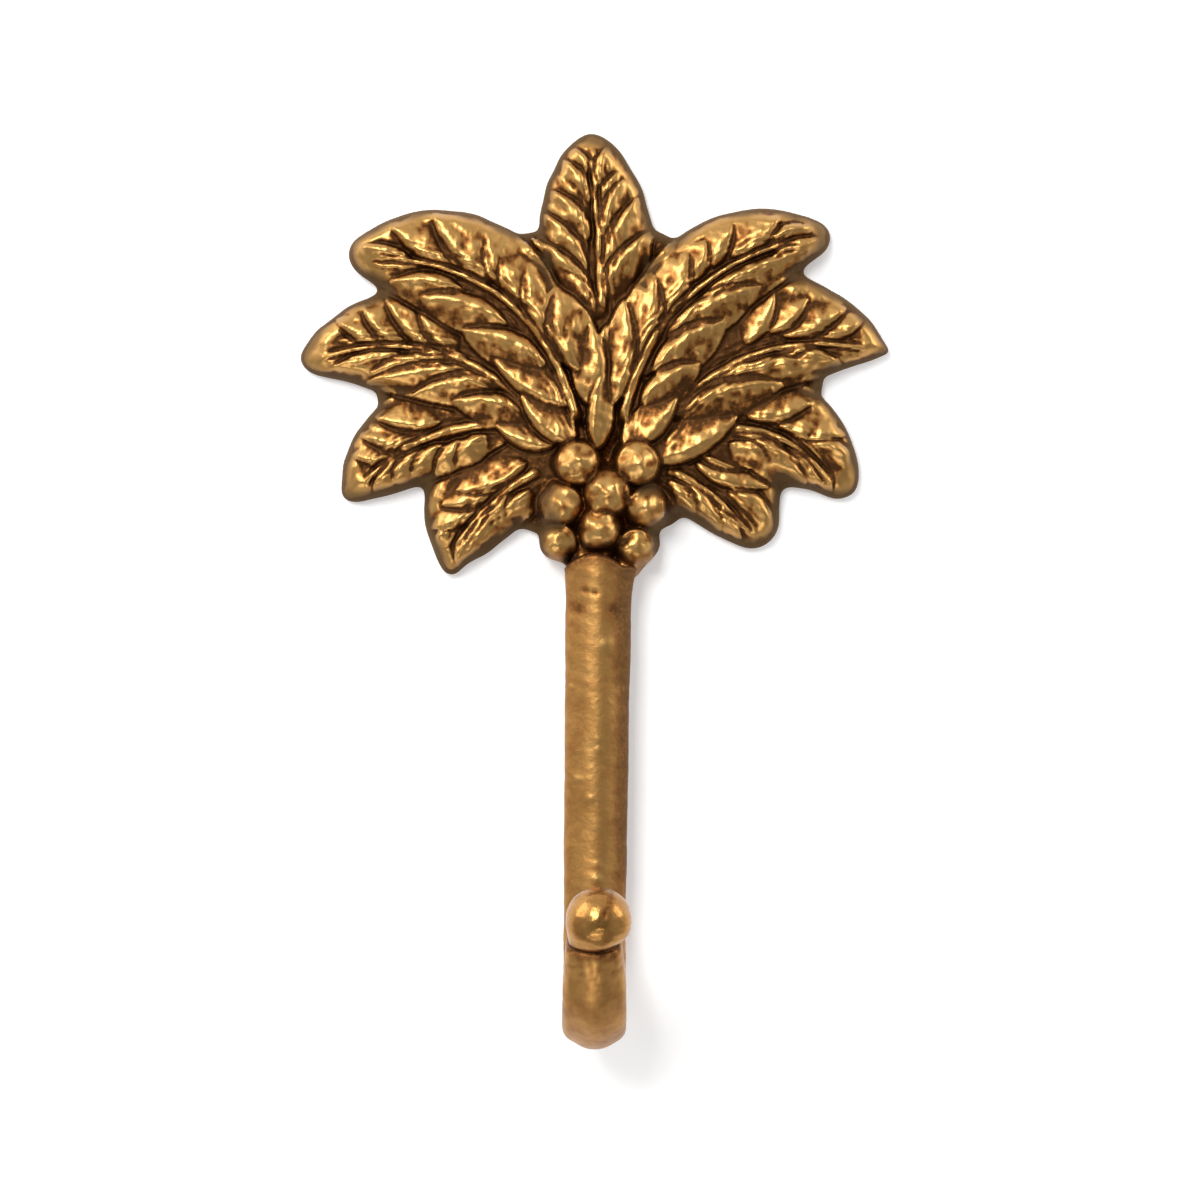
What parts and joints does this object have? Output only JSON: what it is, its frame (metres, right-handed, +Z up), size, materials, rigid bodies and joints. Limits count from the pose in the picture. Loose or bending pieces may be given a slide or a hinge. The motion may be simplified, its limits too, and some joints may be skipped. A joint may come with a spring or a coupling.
{
  "type": "wall hook",
  "caption": "Cast brass wall hook shaped like a palm tree: carved fronds and coconuts above a ridged trunk that turns up into a ball-ended hook, fixed by a tapped hole in its flat back.",
  "frame": {"origin": "centre of the tapped hole's mouth, in the plane of the flat back", "axes": "+Z up the wall, +Y into the wall, +X to the right when seen from the front; the front faces -Y"},
  "size_m": [0.0899, 0.0372, 0.139],
  "materials": {
    "antique_brass": "antique cast brass, polished on the high places, dark brown patina in the recesses"
  },
  "bodies": {
    "root": {"palm_hook": "antique_brass"}
  },
  "joints": []
}
